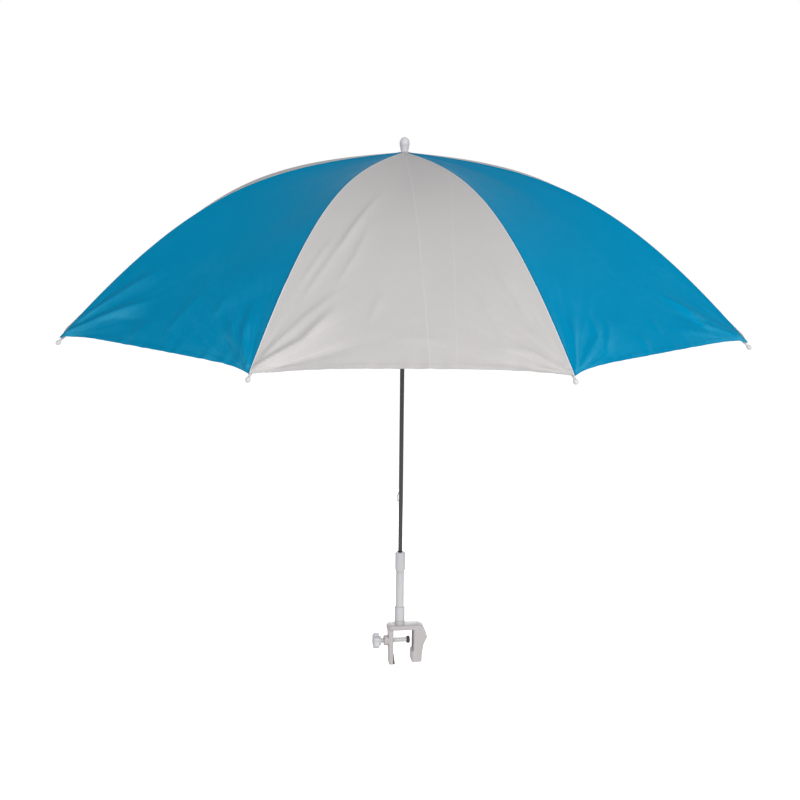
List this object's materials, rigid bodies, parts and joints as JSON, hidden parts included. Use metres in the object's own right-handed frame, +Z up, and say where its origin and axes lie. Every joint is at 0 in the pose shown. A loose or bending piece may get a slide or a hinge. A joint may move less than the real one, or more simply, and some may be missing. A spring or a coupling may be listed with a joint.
{
  "type": "stroller parasol",
  "caption": "Clip-on parasol for a pram: folding two-colour fabric canopy on steel ribs, a slim shaft, a bendable neck and a screw clamp that grips the pram's tube.",
  "frame": {"origin": "underside of the clamp's bridge, straight below the shaft: the face that rests on a pram's tube", "axes": "+Z up along the shaft, +X across the jaws from the screw's side to the fixed jaw, -Y towards the viewer"},
  "size_m": [0.9736, 0.9736, 0.7881],
  "materials": {
    "white_plastic": "moulded white plastic, satin",
    "dark_steel": "dark grey lacquered steel, semi-gloss",
    "zinc_steel": "zinc-plated steel wire",
    "spring_steel": "dark spring steel strip",
    "dark_rubber": "dark brown rubber, matt",
    "white_cloth": "off-white woven polyester, slight sheen",
    "blue_cloth": "blue woven polyester, slight sheen"
  },
  "bodies": {
    "clamp": {"clamp_body": "white_plastic", "clamp_grip_strip": "dark_rubber"},
    "pressure_pad": {"clamp_pressure_pad": "dark_rubber"},
    "screw": {"clamp_screw": "white_plastic", "clamp_knob": "white_plastic"},
    "neck_base": {"neck_lower_collar": "white_plastic", "neck_sleeve": "white_plastic", "neck_core": "zinc_steel"},
    "mast": {"neck_upper_collar": "white_plastic", "shaft": "dark_steel", "top_notch": "white_plastic", "notch_ring_wire": "zinc_steel", "notch_pin": "zinc_steel", "crown_washer": "white_plastic", "ferrule_cap": "white_plastic"},
    "runner": {"runner": "white_plastic"},
    "bottom_catch": {"bottom_catch_spring": "spring_steel"},
    "top_catch": {"top_catch_spring": "spring_steel"},
    "rib_1": {"rib_1": "dark_steel", "rib_tip_1": "white_plastic"},
    "stretcher_1": {"stretcher_1": "dark_steel"},
    "rib_2": {"rib_2": "dark_steel", "rib_tip_2": "white_plastic"},
    "stretcher_2": {"stretcher_2": "dark_steel"},
    "rib_3": {"rib_3": "dark_steel", "rib_tip_3": "white_plastic"},
    "stretcher_3": {"stretcher_3": "dark_steel"},
    "rib_4": {"rib_4": "dark_steel", "rib_tip_4": "white_plastic"},
    "stretcher_4": {"stretcher_4": "dark_steel"},
    "rib_5": {"rib_5": "dark_steel", "rib_tip_5": "white_plastic"},
    "stretcher_5": {"stretcher_5": "dark_steel"},
    "rib_6": {"rib_6": "dark_steel", "rib_tip_6": "white_plastic"},
    "stretcher_6": {"stretcher_6": "dark_steel"},
    "rib_7": {"rib_7": "dark_steel", "rib_tip_7": "white_plastic"},
    "stretcher_7": {"stretcher_7": "dark_steel"},
    "rib_8": {"rib_8": "dark_steel", "rib_tip_8": "white_plastic"},
    "stretcher_8": {"stretcher_8": "dark_steel"},
    "panel_1": {"canopy_gore_1": "white_cloth"},
    "panel_2": {"canopy_gore_2": "blue_cloth"},
    "panel_3": {"canopy_gore_3": "white_cloth"},
    "panel_4": {"canopy_gore_4": "blue_cloth"},
    "panel_5": {"canopy_gore_5": "white_cloth"},
    "panel_6": {"canopy_gore_6": "blue_cloth"},
    "panel_7": {"canopy_gore_7": "white_cloth"},
    "panel_8": {"canopy_gore_8": "blue_cloth"}
  },
  "joints": [
    {"name": "neck_turn", "type": "hinge", "parent": "clamp", "child": "neck_base", "pos_m": [0, 0, 0.013], "axis": [0, 0, 1], "range_deg": [-180, 180]},
    {"name": "neck_bend", "type": "hinge", "parent": "neck_base", "child": "mast", "pos_m": [0, 0, 0.062], "axis": [0, 1, 0], "range_deg": [-60, 60], "deforming": ["neck_sleeve", "neck_core"]},
    {"name": "canopy_fold", "type": "hinge", "parent": "mast", "child": "rib_1", "pos_m": [-0.00402, -0.00691, 0.70783], "axis": [0.8643, -0.503, 0], "range_deg": [0, 61]},
    {"name": "stretcher_1_turn", "type": "hinge", "parent": "rib_1", "child": "stretcher_1", "pos_m": [-0.11711, -0.20122, 0.6594], "axis": [-0.8643, 0.503, 0], "range_deg": [0, 122]},
    {"name": "rib_2_fold", "type": "hinge", "parent": "mast", "child": "rib_2", "pos_m": [0.00204, -0.00773, 0.70783], "axis": [0.9668, 0.2554, 0], "range_deg": [0, 61]},
    {"name": "stretcher_2_turn", "type": "hinge", "parent": "rib_2", "child": "stretcher_2", "pos_m": [0.05947, -0.2251, 0.6594], "axis": [-0.9668, -0.2554, 0], "range_deg": [0, 122]},
    {"name": "rib_3_fold", "type": "hinge", "parent": "mast", "child": "rib_3", "pos_m": [0.00691, -0.00402, 0.70783], "axis": [0.503, 0.8643, 0], "range_deg": [0, 61]},
    {"name": "stretcher_3_turn", "type": "hinge", "parent": "rib_3", "child": "stretcher_3", "pos_m": [0.20122, -0.11711, 0.6594], "axis": [-0.503, -0.8643, 0], "range_deg": [0, 122]},
    {"name": "rib_4_fold", "type": "hinge", "parent": "mast", "child": "rib_4", "pos_m": [0.00773, 0.00204, 0.70783], "axis": [-0.2554, 0.9668, 0], "range_deg": [0, 61]},
    {"name": "stretcher_4_turn", "type": "hinge", "parent": "rib_4", "child": "stretcher_4", "pos_m": [0.2251, 0.05947, 0.6594], "axis": [0.2554, -0.9668, 0], "range_deg": [0, 122]},
    {"name": "rib_5_fold", "type": "hinge", "parent": "mast", "child": "rib_5", "pos_m": [0.00402, 0.00691, 0.70783], "axis": [-0.8643, 0.503, 0], "range_deg": [0, 61]},
    {"name": "stretcher_5_turn", "type": "hinge", "parent": "rib_5", "child": "stretcher_5", "pos_m": [0.11711, 0.20122, 0.6594], "axis": [0.8643, -0.503, 0], "range_deg": [0, 122]},
    {"name": "rib_6_fold", "type": "hinge", "parent": "mast", "child": "rib_6", "pos_m": [-0.00204, 0.00773, 0.70783], "axis": [-0.9668, -0.2554, 0], "range_deg": [0, 61]},
    {"name": "stretcher_6_turn", "type": "hinge", "parent": "rib_6", "child": "stretcher_6", "pos_m": [-0.05947, 0.2251, 0.6594], "axis": [0.9668, 0.2554, 0], "range_deg": [0, 122]},
    {"name": "rib_7_fold", "type": "hinge", "parent": "mast", "child": "rib_7", "pos_m": [-0.00691, 0.00402, 0.70783], "axis": [-0.503, -0.8643, 0], "range_deg": [0, 61]},
    {"name": "stretcher_7_turn", "type": "hinge", "parent": "rib_7", "child": "stretcher_7", "pos_m": [-0.20122, 0.11711, 0.6594], "axis": [0.503, 0.8643, 0], "range_deg": [0, 122]},
    {"name": "rib_8_fold", "type": "hinge", "parent": "mast", "child": "rib_8", "pos_m": [-0.00773, -0.00204, 0.70783], "axis": [0.2554, -0.9668, 0], "range_deg": [0, 61]},
    {"name": "stretcher_8_turn", "type": "hinge", "parent": "rib_8", "child": "stretcher_8", "pos_m": [-0.2251, -0.05947, 0.6594], "axis": [-0.2554, 0.9668, 0], "range_deg": [0, 122]},
    {"name": "gore_1_gather", "type": "hinge", "parent": "rib_1", "child": "panel_1", "pos_m": [-0.00116, -0.00858, 0.70783], "axis": [0.1177, 0.8704, -0.478], "range_deg": [0, 44.8], "deforming": ["canopy_gore_1"]},
    {"name": "gore_2_gather", "type": "hinge", "parent": "rib_2", "child": "panel_2", "pos_m": [0.00525, -0.00689, 0.70783], "axis": [-0.5323, 0.6987, -0.478], "range_deg": [0, 44.8], "deforming": ["canopy_gore_2"]},
    {"name": "gore_3_gather", "type": "hinge", "parent": "rib_3", "child": "panel_3", "pos_m": [0.00858, -0.00116, 0.70783], "axis": [-0.8704, 0.1177, -0.478], "range_deg": [0, 44.8], "deforming": ["canopy_gore_3"]},
    {"name": "gore_4_gather", "type": "hinge", "parent": "rib_4", "child": "panel_4", "pos_m": [0.00689, 0.00525, 0.70783], "axis": [-0.6987, -0.5323, -0.478], "range_deg": [0, 44.8], "deforming": ["canopy_gore_4"]},
    {"name": "gore_5_gather", "type": "hinge", "parent": "rib_5", "child": "panel_5", "pos_m": [0.00116, 0.00858, 0.70783], "axis": [-0.1177, -0.8704, -0.478], "range_deg": [0, 44.8], "deforming": ["canopy_gore_5"]},
    {"name": "gore_6_gather", "type": "hinge", "parent": "rib_6", "child": "panel_6", "pos_m": [-0.00525, 0.00689, 0.70783], "axis": [0.5323, -0.6987, -0.478], "range_deg": [0, 44.8], "deforming": ["canopy_gore_6"]},
    {"name": "gore_7_gather", "type": "hinge", "parent": "rib_7", "child": "panel_7", "pos_m": [-0.00858, 0.00116, 0.70783], "axis": [0.8704, -0.1177, -0.478], "range_deg": [0, 44.8], "deforming": ["canopy_gore_7"]},
    {"name": "gore_8_gather", "type": "hinge", "parent": "rib_8", "child": "panel_8", "pos_m": [-0.00689, -0.00525, 0.70783], "axis": [0.6987, 0.5323, -0.478], "range_deg": [0, 44.8], "deforming": ["canopy_gore_8"]},
    {"name": "runner_slide", "type": "slide", "parent": "mast", "child": "runner", "axis": [0, 0, -1], "range_m": [0, 0.3435]},
    {"name": "bottom_catch_press", "type": "hinge", "parent": "mast", "child": "bottom_catch", "pos_m": [-0.00128, 0.00023, 0.2481], "axis": [-0.1736, -0.9848, 0], "range_deg": [0, 3.2], "stiffness_Nm_per_rad": 0.4, "deforming": ["bottom_catch_spring"]},
    {"name": "top_catch_press", "type": "hinge", "parent": "mast", "child": "top_catch", "pos_m": [-0.00128, 0.00023, 0.51143], "axis": [0.1736, 0.9848, 0], "range_deg": [0, 3.2], "stiffness_Nm_per_rad": 0.4, "deforming": ["top_catch_spring"]},
    {"name": "clamp_feed", "type": "slide", "parent": "clamp", "child": "pressure_pad", "axis": [1, 0, 0], "range_m": [-0.0205, 0.0035]},
    {"name": "clamp_knob_turn", "type": "hinge", "parent": "pressure_pad", "child": "screw", "pos_m": [0, 0, -0.018], "axis": [1, 0, 0], "range_deg": [-2461, 421]}
  ],
  "couplings": [
    {"joint": "stretcher_1_turn", "follows": "canopy_fold", "ratio": 2},
    {"joint": "rib_2_fold", "follows": "canopy_fold", "ratio": 1},
    {"joint": "stretcher_2_turn", "follows": "canopy_fold", "ratio": 2},
    {"joint": "rib_3_fold", "follows": "canopy_fold", "ratio": 1},
    {"joint": "stretcher_3_turn", "follows": "canopy_fold", "ratio": 2},
    {"joint": "rib_4_fold", "follows": "canopy_fold", "ratio": 1},
    {"joint": "stretcher_4_turn", "follows": "canopy_fold", "ratio": 2},
    {"joint": "rib_5_fold", "follows": "canopy_fold", "ratio": 1},
    {"joint": "stretcher_5_turn", "follows": "canopy_fold", "ratio": 2},
    {"joint": "rib_6_fold", "follows": "canopy_fold", "ratio": 1},
    {"joint": "stretcher_6_turn", "follows": "canopy_fold", "ratio": 2},
    {"joint": "rib_7_fold", "follows": "canopy_fold", "ratio": 1},
    {"joint": "stretcher_7_turn", "follows": "canopy_fold", "ratio": 2},
    {"joint": "rib_8_fold", "follows": "canopy_fold", "ratio": 1},
    {"joint": "stretcher_8_turn", "follows": "canopy_fold", "ratio": 2},
    {"joint": "gore_1_gather", "follows": "canopy_fold", "ratio": 0.7344},
    {"joint": "gore_2_gather", "follows": "canopy_fold", "ratio": 0.7344},
    {"joint": "gore_3_gather", "follows": "canopy_fold", "ratio": 0.7344},
    {"joint": "gore_4_gather", "follows": "canopy_fold", "ratio": 0.7344},
    {"joint": "gore_5_gather", "follows": "canopy_fold", "ratio": 0.7344},
    {"joint": "gore_6_gather", "follows": "canopy_fold", "ratio": 0.7344},
    {"joint": "gore_7_gather", "follows": "canopy_fold", "ratio": 0.7344},
    {"joint": "gore_8_gather", "follows": "canopy_fold", "ratio": 0.7344},
    {"joint": "runner_slide", "follows": "canopy_fold", "m_per_rad": 0.32251},
    {"joint": "clamp_knob_turn", "follows": "clamp_feed", "rad_per_m": 2094.4}
  ]
}
